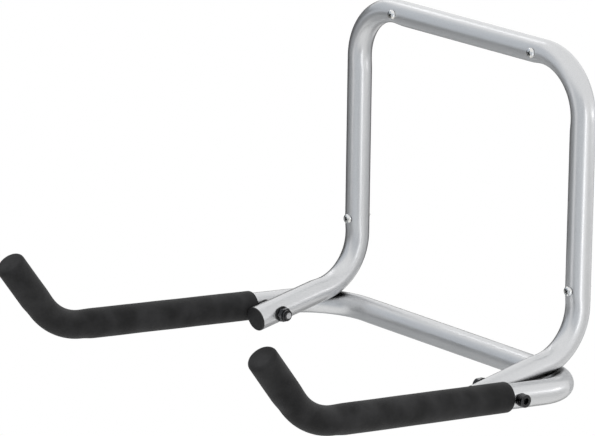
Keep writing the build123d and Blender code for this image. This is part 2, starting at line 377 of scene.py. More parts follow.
# %% Dress the CAD pieces
FINISHES = {
    "silver_paint": SILVER,
    "black_foam": FOAM,
    "black_plastic": PLASTIC,
    "black_steel": BLACK_OXIDE,
    "bright_zinc": ZINC,
    "nylon": NYLON,
}
for part in frame["record"]["subparts"]:
    mesh = frame["nodes"][part["node"]].data
    mesh.materials.clear()
    mesh.materials.append(FINISHES[part["material_slot"]])

# %% [markdown]
# ## From a bmesh to a piece
#
# Each new piece is built as a bmesh. Finishing one is always the same: merge doubled points, turn the
# faces outwards, shade it smooth with its sharp edges kept, hang it on the body it rides on, give it the
# finish of its slot and hide the CAD solid it stands for.

# %% Piece helpers
MERGE_DISTANCE = 0.001 * MM
SHARP_ANGLE = math.radians(35)


def new_object(bm, name):
    """Object from a bmesh, which is used up."""
    mesh = bpy.data.meshes.new(name)
    bm.to_mesh(mesh)
    bm.free()
    made = bpy.data.objects.new(name, mesh)
    bpy.context.scene.collection.objects.link(made)
    return made


def close_up(bm):
    """Merge doubled points and turn the faces outwards."""
    bmesh.ops.remove_doubles(bm, verts=bm.verts, dist=MERGE_DISTANCE)
    bmesh.ops.recalc_face_normals(bm, faces=bm.faces)


def finish_piece(bm, name, body, slot, replaced, second_finish=None):
    """Turn a bmesh into a finished object that stands for a CAD node."""
    close_up(bm)
    open_edges = sum(not edge.is_manifold for edge in bm.edges)
    piece = new_object(bm, name)
    piece.data.shade_smooth()
    piece.data.set_sharp_from_angle(angle=SHARP_ANGLE)
    piece.data.materials.append(FINISHES[slot])
    if second_finish:
        piece.data.materials.append(second_finish)
    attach(piece, body)
    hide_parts(replaced)
    print(name, "has", len(piece.data.polygons), "faces and", open_edges, "open edges")
    return piece


print("points within", MERGE_DISTANCE / MM, "mm of each other are merged")

# %% [markdown]
# ## Rings that grow into shapes
#
# The tubes, grips, bolts and screws are all round, so they share one way of building: a ring of edges is
# extruded, moved and scaled, again and again, and its trail is the surface. A lathe spins one outline
# round an axis. Growing ring by ring gives the same skin, but each ring stays at hand, so that a knurl,
# a hexagon or a cross can be joined to it.

# %% Ring helpers
UP = Vector((0, 0, 1))
EDGE_STEPS = 6


def edges_of(geometry):
    """The edges among the geometry that an operator returns."""
    return [item for item in geometry if isinstance(item, bmesh.types.BMEdge)]


def verts_of(geometry):
    """The vertices among the geometry that an operator returns."""
    return [item for item in geometry if isinstance(item, bmesh.types.BMVert)]


def add_ring(bm, radius, sides, place):
    """Circle of edges in the XY plane of a placing matrix."""
    made = bmesh.ops.create_circle(bm, segments=sides, radius=radius, matrix=place)
    return list({edge for vert in made["verts"] for edge in vert.link_edges})


def next_ring(bm, ring, step, factor=1.0):
    """Extrude a ring of edges by a step, scale it about its own middle and return it."""
    made = bmesh.ops.extrude_edge_only(bm, edges=ring)["geom"]
    verts = verts_of(made)
    bmesh.ops.translate(bm, verts=verts, vec=step)
    middle = sum((vert.co for vert in verts), Vector()) / len(verts)
    bmesh.ops.scale(bm, verts=verts, vec=(factor,) * 3, space=Matrix.Translation(-middle))
    return edges_of(made)


def grow(bm, ring, stations, along):
    """Carry a ring through stations of radius and height, the first its own, along a direction."""
    for (radius, height), (next_radius, next_height) in zip(stations, stations[1:]):
        ring = next_ring(bm, ring, along * (next_height - height), next_radius / radius)
    return ring


def quarter_turns():
    """Angles of the steps from a side round to a flat top."""
    return [math.radians(90) * index / EDGE_STEPS for index in range(EDGE_STEPS + 1)]


def rounded_edge(radius, top, rounding):
    """Stations of a rounded outer edge, from its side up to its flat top."""
    return [
        (radius - rounding * (1 - math.cos(turn)), top - rounding * (1 - math.sin(turn)))
        for turn in quarter_turns()
    ]


print("a rounded edge has", len(quarter_turns()), "stations")

# %% [markdown]
# ## A path for bent tube
#
# Tube is bent cold round a former, so its path is straights and arcs. The former presses the inner side
# of each bend in by about a millimetre, and the flat fades out in the straights: that is why the streaks
# of light kink at the ends of a bend. A curve with a round bevel can't show it. So the path is cut into
# stations. Each one is a frame that faces along the tube, with the side that the bend's centre lies on
# and how far the section is pressed in there.

# %% Path helpers
RUN_OUT = 15 * MM  # length of straight over which the pressing fades out
RUN_OUT_STEPS = 6
BEND_STEPS = 28


def slide(place, spot):
    """A frame moved to another spot without turning."""
    return Matrix.Translation(spot - place.translation) @ place


def straight_stations(place, spot, step_length):
    """Stations with no pressing, from a frame to a spot straight ahead of it."""
    way = spot - place.translation
    count = math.ceil(way.length / step_length)
    shares = [step / count for step in range(1, count + 1)]
    return [(slide(place, spot - way * (1 - share)), Vector(), 0) for share in shares]


def fading_stations(place, spot, inward, rising):
    """Stations from a frame to a spot straight ahead, over which the pressing rises or falls."""
    way = spot - place.translation
    stations = []
    for step in range(1, RUN_OUT_STEPS + 1):
        share = step / RUN_OUT_STEPS
        pressing = share if rising else 1 - share
        smooth = pressing * pressing * (3 - 2 * pressing)
        stations.append((slide(place, spot - way * (1 - share)), inward, smooth))
    return stations


def bend_stations(place, centre, axis, turn):
    """Stations with full pressing, round a bend."""
    swing = Matrix.Translation(centre) @ Matrix.Rotation(turn / BEND_STEPS, 4, axis)
    stations = []
    for _ in range(BEND_STEPS):
        place = swing @ Matrix.Translation(-centre) @ place
        stations.append((place, (centre - place.translation).normalized(), 1))
    return stations


def stations_along(points, radii, step_length):
    """Stations of a path through corners of given bend radii: frame, inner side, share of the pressing."""
    ahead = (points[1] - points[0]).normalized()
    place = Matrix.Translation(points[0]) @ ahead.to_track_quat("Z", "X").to_matrix().to_4x4()
    stations = [(place, Vector(), 0)]
    for before, corner, after, radius in zip(points, points[1:], points[2:], radii):
        ahead = (corner - before).normalized()
        onward = (after - corner).normalized()
        turn = ahead.angle(onward)
        axis = ahead.cross(onward).normalized()
        inward = axis.cross(ahead)
        start = corner - ahead * radius * math.tan(turn / 2)
        stations += straight_stations(stations[-1][0], start - ahead * RUN_OUT, step_length)
        stations += fading_stations(stations[-1][0], start, inward, rising=True)
        stations += bend_stations(stations[-1][0], start + inward * radius, axis, turn)
        place, inward, _ = stations[-1]
        stations += fading_stations(place, place.translation + onward * RUN_OUT, inward, rising=False)
    return stations + straight_stations(stations[-1][0], points[-1], step_length)


print("a bend has", BEND_STEPS + 2 * RUN_OUT_STEPS, "stations")


# %% Skin helpers
def carry(bm, radius, sides, stations):
    """Skin round a path. Returns its first and last rings of edges and the points of all its rings."""
    first = add_ring(bm, radius, sides, stations[0][0])
    ring = first
    rings = [list({vert for edge in first for vert in edge.verts})]
    for (before, _, _), (after, _, _) in zip(stations, stations[1:]):
        made = bmesh.ops.extrude_edge_only(bm, edges=ring)["geom"]
        bmesh.ops.transform(bm, matrix=after @ before.inverted(), verts=verts_of(made))
        ring = edges_of(made)
        rings.append(verts_of(made))
    return first, ring, rings


def press(stations, rings, inner, outer):
    """Scale the inner and outer halves of each ring towards its axis, by a share of their depth."""
    for (place, inward, share), ring in zip(stations, rings):
        for vert in ring:
            depth = (vert.co - place.translation).dot(inward)
            vert.co -= inward * depth * share * (inner if depth > 0 else outer)


print("a skin has", BEND_STEPS, "rings round a bend")

# %% [markdown]
# ## Bent steel tubes
#
# The wall frame starts at the left foot's end, goes up the leg, across and down again. The arm frame
# goes from one hook's end to the other, round the back. Each path is given for the right half, as the
# corners where the straights would cross, and mirrored. Both frames are drawn at rest, with the arms'
# rear corners under the feet.

# %% Tube sizes
TUBE_RADIUS = 12.5 * MM
TUBE_BORE_RADIUS = 11 * MM
TUBE_SIDES = 72
TUBE_STEP = 60 * MM
BEND_FLATTENING = 1.1 * MM
LEG_X = 165 * MM
FRAME_HEIGHT = 286 * MM  # top bar to where leg and foot axes cross
FOOT_SLOPE = math.radians(-10.7)
FOOT_LENGTH = 135 * MM  # from there to the tube's end
FRAME_RADII = [radius * MM for radius in (53, 56, 56, 53)]
GRIP_LOW, GRIP_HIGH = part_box("grip_right")
ARM_X = (GRIP_LOW.x + GRIP_HIGH.x) / 2
ARM_TILT = math.radians(5.2228)
ARM_REAR_REACH = 98 * MM  # pivot back to the cross tube
ARM_REACH = 257 * MM  # pivot forward to where arm and hook axes cross
HOOK_ANGLE = math.radians(48)
HOOK_LENGTH = 89 * MM  # from there to the tube's end
HOOK_BEND_RADIUS = 68 * MM
ARM_RADII = [HOOK_BEND_RADIUS, 58 * MM, 58 * MM, HOOK_BEND_RADIUS]


def heading(angle):
    """Direction into the room, turned up by an angle."""
    return Vector((0, -math.cos(angle), math.sin(angle)))


FOOT_CORNER = Vector((LEG_X, -TUBE_RADIUS, -FRAME_HEIGHT))
FRAME_HALF = [
    FOOT_CORNER + heading(FOOT_SLOPE) * FOOT_LENGTH,
    FOOT_CORNER,
    Vector((LEG_X, -TUBE_RADIUS, 0)),
]
AHEAD = heading(ARM_TILT)
HOOK = heading(ARM_TILT + HOOK_ANGLE)
ARM_PIVOT = Vector((ARM_X, pivot.y, pivot.z))
HOOK_CORNER = ARM_PIVOT + AHEAD * ARM_REACH
ARM_HALF = [HOOK_CORNER + HOOK * HOOK_LENGTH, HOOK_CORNER, ARM_PIVOT - AHEAD * ARM_REAR_REACH]
print("hook corner at", [round(value, 4) for value in HOOK_CORNER])

# %% [markdown]
# ## Drilled holes
#
# The tubes are drilled after bending, through both walls, and a Boolean modifier with a rod for each
# hole does the same to a mesh. What it cuts becomes a face with many corners. Along a straight tube such
# a face would be long and shade badly, so two planes first cut a short band round each hole, and only
# the faces of the band are changed.

# %% Drill
HOLE_SIDES = 48
HOLE_BAND = 1.8 * MM  # skin left in the band, on each side of the hole
DRILL_LENGTH = 3 * TUBE_RADIUS  # longer than the tube is thick


def drill(bm, holes):
    """Bmesh with holes, each a spot on the tube's axis, the tube's way, the drill's way, a radius."""
    rods = bmesh.new()
    for spot, along, direction, radius in holes:
        place = Matrix.Translation(spot) @ direction.to_track_quat("Z", "Y").to_matrix().to_4x4()
        bmesh.ops.create_cone(
            rods,
            cap_ends=True,
            segments=HOLE_SIDES,
            radius1=radius,
            radius2=radius,
            depth=DRILL_LENGTH,
            matrix=place,
        )
        for reach in (-radius - HOLE_BAND, radius + HOLE_BAND):
            everything = bm.verts[:] + bm.edges[:] + bm.faces[:]
            cut_at = spot + along * reach
            bmesh.ops.bisect_plane(
                bm, geom=everything, dist=MERGE_DISTANCE, plane_co=cut_at, plane_no=along
            )
    tube = new_object(bm, "undrilled_tube")
    bit = new_object(rods, "drill_rods")
    cut = tube.modifiers.new("holes", "BOOLEAN")
    cut.operation = "DIFFERENCE"
    cut.solver = "EXACT"
    cut.object = bit
    evaluated = tube.evaluated_get(bpy.context.evaluated_depsgraph_get())
    drilled = bpy.data.meshes.new_from_object(evaluated)
    result = bmesh.new()
    result.from_mesh(drilled)
    scratch_meshes = [tube.data, bit.data, drilled]
    for used in (tube, bit):
        bpy.data.objects.remove(used)
    for mesh in scratch_meshes:
        bpy.data.meshes.remove(mesh)
    return result


print("the drill is", round(DRILL_LENGTH / MM, 1), "mm long")

# %% Where the holes are
BOLT_HOLE_RADIUS = 4.05 * MM
SCREW_HOLE_RADIUS = 2.75 * MM
ACROSS = Vector((1, 0, 0))
INTO_WALL = Vector((0, 1, 0))
SCREWED_TUBES = {"upper_left": ACROSS, "upper_right": ACROSS, "lower_left": UP, "lower_right": UP}


def screw_axis(corner, depth):
    """Point on a packed wall screw's axis, at a depth into the wall."""
    low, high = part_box(f"wall_screw_{corner}")
    return Vector(((low.x + high.x) / 2, depth, (low.z + high.z) / 2))


def pivot_holes(reach, along):
    """Holes on the fold axis, at a reach to each side."""
    spots = [Vector((side * reach, pivot.y, pivot.z)) for side in (-1, 1)]
    return [(spot, along, ACROSS, BOLT_HOLE_RADIUS) for spot in spots]


FRAME_HOLES = [
    (screw_axis(corner, -TUBE_RADIUS), along, INTO_WALL, SCREW_HOLE_RADIUS)
    for corner, along in SCREWED_TUBES.items()
] + pivot_holes(LEG_X, heading(FOOT_SLOPE))
ARM_HOLES = pivot_holes(ARM_X, AHEAD)
print(len(FRAME_HOLES), "holes in the wall frame and", len(ARM_HOLES), "in the arm frame")

# %% [markdown]
# ## Tubes from paths
#
# A hollow tube is an outer skin and a bore along the same stations, pressed alike. At both ends the
# outer ring is drawn in to the bore's radius, and merging doubled points closes the wall there.

# %% Tubes
def bent_tube(name, half, radii, holes, body, replaced):
    """Hollow tube along a path that is given for its right half and mirrored for the left."""
    bm = bmesh.new()
    left_half = [Vector((-point.x, point.y, point.z)) for point in half]
    stations = stations_along(left_half + half[::-1], radii, TUBE_STEP)
    flattening = BEND_FLATTENING / TUBE_RADIUS
    *rims, rings = carry(bm, TUBE_RADIUS, TUBE_SIDES, stations)
    press(stations, rings, inner=flattening, outer=0)
    for rim in rims:
        next_ring(bm, rim, Vector(), TUBE_BORE_RADIUS / TUBE_RADIUS)
    *_, rings = carry(bm, TUBE_BORE_RADIUS, TUBE_SIDES, stations)
    press(stations, rings, inner=flattening, outer=0)
    close_up(bm)
    return finish_piece(drill(bm, holes), name, body, "silver_paint", replaced)


bent_tube("wall_tube", FRAME_HALF, FRAME_RADII, FRAME_HOLES, "wall", "wall_frame")
bent_tube("arm_tube", ARM_HALF, ARM_RADII, ARM_HOLES, "arms", "arm_frame")

# %% [markdown]
# ## Foam grips
#
# A grip is a foam tube pulled over the arm and closed at the hook's end, so a larger ring follows the
# arm's own path. Foam is stretched thin on the outer side of a bend and squeezed a little on the inner
# side, so both are pressed in. It is never quite even either: a slow noise moves the skin by a fraction
# of a millimetre. The closed end is a rounded shoulder and a low crown, grown ring by ring.

# %% Grip sizes
SIDES = {"left": -1, "right": 1}
GRIP_RADIUS = (GRIP_HIGH.x - GRIP_LOW.x) / 2
GRIP_BORE_RADIUS = 12.6 * MM
GRIP_SIDES = 64
GRIP_STEP = 10 * MM
GRIP_START = 9 * MM  # in front of the pivot
GRIP_END_CAP = 6 * MM
GRIP_END_ROUNDING = 4.2 * MM
GRIP_END_CROWN = 0.8 * MM
GRIP_CROWN_RINGS = (0.75, 0.5, 0.25, 0.08)  # shares of the flat's radius
GRIP_RIM_ROUNDING = 0.8 * MM
GRIP_SQUEEZE = 0.03  # share of its depth that the foam loses inside the bend
GRIP_THINNING = 0.07  # and outside it
WAVE_HEIGHT = 0.2 * MM
WAVE_LENGTH = 40 * MM
print("grip radius", round(GRIP_RADIUS, 4), "arm at x", round(ARM_X, 4))


# %% Grips
def closed_end():
    """Stations of the grip's end: a rounded shoulder and a low crown."""
    shoulder = rounded_edge(GRIP_RADIUS, GRIP_END_ROUNDING, GRIP_END_ROUNDING)
    flat_radius = shoulder[-1][0]
    crown = []
    for share in GRIP_CROWN_RINGS:
        crown.append((flat_radius * share, GRIP_END_ROUNDING + GRIP_END_CROWN * (1 - share**2)))
    return shoulder + crown


def foam_grip(name, side, replaced):
    bm = bmesh.new()
    rear = ARM_PIVOT + AHEAD * GRIP_START
    end = closed_end()
    tip = HOOK_CORNER + HOOK * (HOOK_LENGTH + GRIP_END_CAP - end[-1][1])
    stations = stations_along([rear, HOOK_CORNER, tip], [HOOK_BEND_RADIUS], GRIP_STEP)
    outer_rim, last, rings = carry(bm, GRIP_RADIUS, GRIP_SIDES, stations)
    press(stations, rings, inner=GRIP_SQUEEZE, outer=GRIP_THINNING)
    bmesh.ops.edgeloop_fill(bm, edges=grow(bm, last, end, HOOK))
    skin = bm.verts[:]
    next_ring(bm, outer_rim, Vector(), GRIP_BORE_RADIUS / GRIP_RADIUS)
    bm.normal_update()
    for vert in skin:
        vert.co += vert.normal * WAVE_HEIGHT * noise.noise(vert.co / WAVE_LENGTH + UP * side)
    stations = stations_along([rear, HOOK_CORNER, ARM_HALF[0]], [HOOK_BEND_RADIUS], TUBE_STEP)
    _, last, _ = carry(bm, GRIP_BORE_RADIUS, GRIP_SIDES, stations)
    bmesh.ops.edgeloop_fill(bm, edges=last)
    bmesh.ops.bevel(
        bm,
        geom=outer_rim,
        offset=GRIP_RIM_ROUNDING,
        segments=3,
        profile=0.5,
        affect="EDGES",
        material=-1,
    )
    bmesh.ops.scale(bm, verts=bm.verts, vec=(side, 1, 1))
    piece = finish_piece(bm, name, "arms", "black_foam", replaced)
    return piece


for side_name, side in SIDES.items():
    foam_grip(f"foam_grip_{side_name}", side, f"grip_{side_name}")

# %% [markdown]
# ## Screw threads
#
# A thread is one V-shaped tooth that winds up a cylinder. Spin can do that: besides turning an outline
# round an axis, it moves it a little further at every step, which makes a helix. The outline is exactly
# one pitch long, so each turn ends where the next begins and merging doubled points sews them together.
# The two ends come out ragged, so the thread is made too long and a plane cuts each end square.

# %% Thread helpers
THREAD_STEPS = 32
SPARE_TURNS = 2  # for the ends that are cut off
CREST_END = 0.125  # shares of the pitch at which the crest ends and the root begins and ends
ROOT_START = 0.45
ROOT_END = 0.675


def add_thread(bm, crest, root, pitch, low, high):
    """Right-hand thread round the Z axis between two heights, open at both ends."""
    outline = [(crest, 0), (crest, CREST_END), (root, ROOT_START), (root, ROOT_END), (crest, 1)]
    verts = [bm.verts.new((radius, 0, low + (share - 1) * pitch)) for radius, share in outline]
    chain = [bm.edges.new(pair) for pair in zip(verts, verts[1:])]
    turns = math.ceil((high - low) / pitch) + SPARE_TURNS
    bmesh.ops.spin(
        bm,
        geom=verts + chain,
        cent=(0, 0, 0),
        axis=UP,
        dvec=UP * pitch / THREAD_STEPS,
        angle=math.tau * turns,
        steps=THREAD_STEPS * turns,
    )
    bmesh.ops.remove_doubles(bm, verts=bm.verts, dist=MERGE_DISTANCE)
    for height, outwards in ((low, -UP), (high, UP)):
        everything = bm.verts[:] + bm.edges[:] + bm.faces[:]
        bmesh.ops.bisect_plane(
            bm, geom=everything, plane_co=UP * height, plane_no=outwards, clear_outer=True
        )


def open_loop(bm, height):
    """The open edges at one height."""
    loose = [edge for edge in bm.edges if edge.is_boundary]
    return [edge for edge in loose if abs(edge.verts[0].co.z - height) < MERGE_DISTANCE]


print("one turn of thread has", THREAD_STEPS, "steps")

# %% [markdown]
# ## Pivot bolts
#
# The arms turn on two M8 socket-head bolts. The head is knurled, so that fingers can start it, and has a
# hexagon socket for a key. The knurl is a ring with many corners, of which every second one is drawn in.
# The socket's mouth is a hexagon with its sides divided as finely as that ring, and triangles fill the
# flat between the two: a bridge between rings in one plane would twist. The bolt was cut to length after
# blackening, so its end, which looks out of the nut, is bright.

# %% Pivot bolt sizes
BOLT_LOW, BOLT_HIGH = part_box("pivot_bolt_right")
HEAD_RADIUS = (BOLT_HIGH.z - BOLT_LOW.z) / 2
HEAD_HEIGHT = 8 * MM
HEAD_SEAT = BOLT_HIGH.x - HEAD_HEIGHT
HEAD_ROUNDING = 0.8 * MM
HEAD_FOOT = 0.5 * MM  # height of the plain bevel under the knurl
BOLT_LENGTH = HEAD_SEAT - BOLT_LOW.x
BOLT_RADIUS = 4 * MM
BOLT_PITCH = 1.25 * MM
BOLT_THREAD_ROOT = 3.25 * MM
BOLT_THREAD_LENGTH = 22 * MM
BOLT_END_CHAMFER = 0.8 * MM
BOLT_END_SHARE = 0.85  # of the thread's radius
KNURL_SIDES = 96
KNURL_DEPTH = 0.3 * MM
KNURL_LEAST_RADIUS = 0.9 * HEAD_RADIUS  # what lies further in isn't the head's side
SOCKET_WIDTH = 6 * MM
SOCKET_DEPTH = 4 * MM
SOCKET_BEVEL = 0.35 * MM
SOCKET_POINT_SHARE = 0.3  # of its radius, where the drill's cone ends
KEY_TURNS = {"left": math.radians(12), "right": math.radians(25)}
print("bolt length", round(BOLT_LENGTH, 4), "head radius", round(HEAD_RADIUS, 4))


# %% Bolt head
def knurl(bm, low, high):
    """Draw in every second corner of the head's side between two heights."""
    corner = math.tau / KNURL_SIDES
    side = [vert for vert in bm.verts if low < vert.co.z < high]
    side = [vert for vert in side if vert.co.xy.length > KNURL_LEAST_RADIUS]
    grooves = [vert for vert in side if round(math.atan2(vert.co.y, vert.co.x) / corner) % 2]
    shrink = 1 - KNURL_DEPTH / HEAD_RADIUS
    bmesh.ops.scale(bm, verts=grooves, vec=(shrink, shrink, 1))


def hexagon_socket(bm, top_ring):
    """Sink a hexagon socket with a bevelled mouth into the flat inside the head's top ring."""
    mouth_radius = SOCKET_WIDTH / math.sqrt(3) + SOCKET_BEVEL
    hexagon = add_ring(bm, mouth_radius, 6, Matrix.Translation(UP * HEAD_HEIGHT))
    bmesh.ops.subdivide_edges(bm, edges=hexagon, cuts=KNURL_SIDES // 6 - 1)
    mouth = [edge for edge in bm.edges if edge.is_wire]
    bmesh.ops.triangle_fill(bm, edges=top_ring + mouth, use_beauty=True, normal=UP)
    ring = next_ring(bm, mouth, -UP * SOCKET_BEVEL, 1 - SOCKET_BEVEL / mouth_radius)
    ring = next_ring(bm, ring, -UP * (SOCKET_DEPTH - SOCKET_BEVEL))
    ring = next_ring(bm, ring, -UP * SOCKET_BEVEL, SOCKET_POINT_SHARE)
    bmesh.ops.edgeloop_fill(bm, edges=ring)


print("the knurl has", KNURL_SIDES // 2, "grooves")


# %% Pivot bolts
def pivot_bolt(name, side, key_turn, replaced):
    bm = bmesh.new()
    thread_low = BOLT_END_CHAMFER - BOLT_LENGTH
    thread_high = thread_low + BOLT_THREAD_LENGTH
    add_thread(bm, BOLT_RADIUS, BOLT_THREAD_ROOT, BOLT_PITCH, thread_low, thread_high)
    tip = next_ring(bm, open_loop(bm, thread_low), -UP * BOLT_END_CHAMFER, BOLT_END_SHARE)
    end_face = bmesh.ops.edgeloop_fill(bm, edges=tip)["faces"][0]
    end_face.material_index = 1
    shank_low = thread_high + BOLT_PITCH
    shank = add_ring(bm, BOLT_RADIUS, KNURL_SIDES, Matrix.Translation(UP * shank_low))
    bmesh.ops.bridge_loops(bm, edges=open_loop(bm, thread_high) + shank)
    plain = [(BOLT_RADIUS, shank_low), (BOLT_RADIUS, 0)]
    under_head = [(HEAD_RADIUS - HEAD_FOOT, 0), (HEAD_RADIUS, HEAD_FOOT)]
    knurled = [(HEAD_RADIUS, 2 * HEAD_FOOT), (HEAD_RADIUS, HEAD_HEIGHT - 2 * HEAD_ROUNDING)]
    crown = rounded_edge(HEAD_RADIUS, HEAD_HEIGHT, HEAD_ROUNDING)
    top_ring = grow(bm, shank, plain + under_head + knurled + crown, UP)
    knurl(bm, HEAD_FOOT + KNURL_DEPTH, HEAD_HEIGHT - HEAD_ROUNDING - KNURL_DEPTH)
    hexagon_socket(bm, top_ring)
    outwards = Matrix.Rotation(side * math.radians(90), 4, "Y")
    seat = Matrix.Translation((side * HEAD_SEAT, pivot.y, pivot.z))
    place = seat @ outwards @ Matrix.Rotation(key_turn, 4, "Z")
    bmesh.ops.transform(bm, matrix=place, verts=bm.verts)
    return finish_piece(bm, name, "wall", "black_steel", replaced, second_finish=CUT_STEEL)


for side_name, side in SIDES.items():
    pivot_bolt(f"socket_bolt_{side_name}", side, KEY_TURNS[side_name], f"pivot_bolt_{side_name}")

# %% [markdown]
# ## Wall screws
#
# Four zinc-plated pan-head screws hold the rack. The head is a low dome with a cross recess, whose walls
# slope so that the driver wedges itself in. The cross starts as a small square. Each of its sides is
# extruded into an arm, and the whole cross is extruded down and made smaller. Triangles fill the flat
# round it, and a slight crown then lifts the whole top. The thread behind the tube tapers to a point, by
# a scaling that grows along it. Screws are driven by hand, so no two crosses stand at the same angle.

# %% Wall screw sizes
SCREW_HEAD_RADIUS = 5 * MM
SCREW_HEAD_HEIGHT = 2.7 * MM  # to the flat top, before it is crowned
SCREW_CROWN = 0.8 * MM
SCREW_HEAD_SIDE = 0.9 * MM
SCREW_DOME_RADIUS = 2.9 * MM
SCREW_FLAT_RADIUS = 0.97 * SCREW_DOME_RADIUS
SCREW_SHANK_RADIUS = 2.2 * MM
SCREW_THREAD_CREST = 2.5 * MM
SCREW_THREAD_ROOT = 1.8 * MM
SCREW_PITCH = 1.8 * MM
SCREW_POINT_LENGTH = 2.5 * MM
SCREW_POINT_SHARE = 0.16  # of the thread's radius, at the tip
RECESS_WIDTH = 1.2 * MM
RECESS_REACH = 2.6 * MM
RECESS_DEPTH = 1.9 * MM
RECESS_TAPER = 0.6
SCREW_SIDES = 48
SCREW_LOW, SCREW_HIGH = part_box("wall_screw_upper_left")
SCREW_SEAT_Y = SCREW_LOW.y + SCREW_HEAD_HEIGHT + SCREW_CROWN
SCREW_TIP = SCREW_SEAT_Y - SCREW_HIGH.y
CROSS_TURNS = {"upper_left": 28, "upper_right": 62, "lower_left": 10, "lower_right": 40}  # degrees
print("screw tip", round(SCREW_TIP, 4), "behind its head's seat")


# %% Screw head
def cross_recess(bm, top_ring):
    """Sink a tapered cross into the flat inside the dome's last ring."""
    top = Matrix.Translation(UP * SCREW_HEAD_HEIGHT)
    made = bmesh.ops.create_grid(bm, x_segments=1, y_segments=1, size=RECESS_WIDTH / 2, matrix=top)
    square = list({edge for vert in made["verts"] for edge in vert.link_edges})
    for edge in square:
        outwards = (edge.verts[0].co + edge.verts[1].co) / 2
        outwards.z = 0
        next_ring(bm, [edge], outwards.normalized() * (RECESS_REACH - RECESS_WIDTH / 2))
    cross = {face for vert in made["verts"] for face in vert.link_faces}
    sunk = bmesh.ops.extrude_face_region(bm, geom=list(cross))["geom"]
    bmesh.ops.delete(bm, geom=list(cross), context="FACES")
    bmesh.ops.translate(bm, verts=verts_of(sunk), vec=-UP * RECESS_DEPTH)
    bmesh.ops.scale(bm, verts=verts_of(sunk), vec=(RECESS_TAPER, RECESS_TAPER, 1))
    mouth = [edge for edge in open_loop(bm, SCREW_HEAD_HEIGHT) if edge not in top_ring]
    bmesh.ops.triangle_fill(bm, edges=top_ring + mouth, use_beauty=True, normal=UP)


def dome_stations():
    """Stations of the dome, a quarter ellipse from the head's side to its flat top."""
    wide = SCREW_HEAD_RADIUS - SCREW_DOME_RADIUS
    tall = SCREW_HEAD_HEIGHT - SCREW_HEAD_SIDE
    dome = [
        (SCREW_DOME_RADIUS + wide * math.cos(turn), SCREW_HEAD_SIDE + tall * math.sin(turn))
        for turn in quarter_turns()
    ]
    return dome + [(SCREW_FLAT_RADIUS, SCREW_HEAD_HEIGHT)]


print("the dome has", len(dome_stations()), "stations")


# %% Wall screws
def wall_screw(name, corner, cross_turn, replaced):
    bm = bmesh.new()
    thread_high = SCREW_TIP + 2 * SCREW_POINT_LENGTH
    add_thread(bm, SCREW_THREAD_CREST, SCREW_THREAD_ROOT, SCREW_PITCH, SCREW_TIP, thread_high)
    for vert in bm.verts:
        along = min(1, (vert.co.z - SCREW_TIP) / SCREW_POINT_LENGTH)
        vert.co.xy *= SCREW_POINT_SHARE + (1 - SCREW_POINT_SHARE) * along
    bmesh.ops.edgeloop_fill(bm, edges=open_loop(bm, SCREW_TIP))
    shank_low = thread_high + SCREW_PITCH
    shank = add_ring(bm, SCREW_SHANK_RADIUS, SCREW_SIDES, Matrix.Translation(UP * shank_low))
    bmesh.ops.bridge_loops(bm, edges=open_loop(bm, thread_high) + shank)
    under_head = [(SCREW_SHANK_RADIUS, shank_low), (SCREW_SHANK_RADIUS, 0), (SCREW_HEAD_RADIUS, 0)]
    top_ring = grow(bm, shank, under_head + dome_stations(), UP)
    cross_recess(bm, top_ring)
    for vert in bm.verts:
        if vert.co.z > SCREW_HEAD_SIDE:
            vert.co.z += SCREW_CROWN * (1 - (vert.co.xy.length / SCREW_HEAD_RADIUS) ** 2)
    outwards = Matrix.Rotation(math.radians(90), 4, "X")
    seat = Matrix.Translation(screw_axis(corner, SCREW_SEAT_Y))
    place = seat @ outwards @ Matrix.Rotation(math.radians(cross_turn), 4, "Z")
    bmesh.ops.transform(bm, matrix=place, verts=bm.verts)
    return finish_piece(bm, name, "wall", "bright_zinc", replaced)


for corner, cross_turn in CROSS_TURNS.items():
    wall_screw(f"pan_screw_{corner}", corner, cross_turn, f"wall_screw_{corner}")

# %% [markdown]
# ## Set
#
# The rack is photographed on white, hung in the air as on a wall, so the pale floor lies well below it.
# The world is white where the camera or a reflection looks past the set, and a little dimmer for the
# light that falls on matte surfaces, so that they keep their depth.

# %% Floor and world
FLOOR_DROP = 1.2
FLOOR_RADIUS = 2.0
FLOOR_SIDES = 96
FLOOR_CLOUD_MM = 400
AMBIENT = 0.8


def stage_piece(bm, name, material):
    """Object of the set, which isn't part of the rack."""
    piece = new_object(bm, name)
    piece.data.materials.append(material)
    return piece


def matte_finish(name, dark, pale, size_mm):
    material, tree, place = start_finish(name)
    cloud = add(tree, "ShaderNodeTexNoise", {"Vector": place, "Scale": scale_of(size_mm), "Detail": 2.0})
    base = add(tree, "ShaderNodeValToRGB", {"Fac": cloud.outputs["Fac"]})
    base.color_ramp.elements[0].color = linear(dark)
    base.color_ramp.elements[1].color = linear(pale)
    shader = add(tree, "ShaderNodeBsdfPrincipled", {"Base Color": base.outputs["Color"], "Roughness": 0.8})
    return end_finish(material, tree, shader)


floor_bm = bmesh.new()
floor_place = Matrix.Translation((0, 0, -FLOOR_DROP))
bmesh.ops.create_circle(
    floor_bm, cap_ends=True, segments=FLOOR_SIDES, radius=FLOOR_RADIUS, matrix=floor_place
)
stage_piece(floor_bm, "floor", matte_finish("pale_floor", "#EDEDEC", "#F4F4F3", FLOOR_CLOUD_MM))

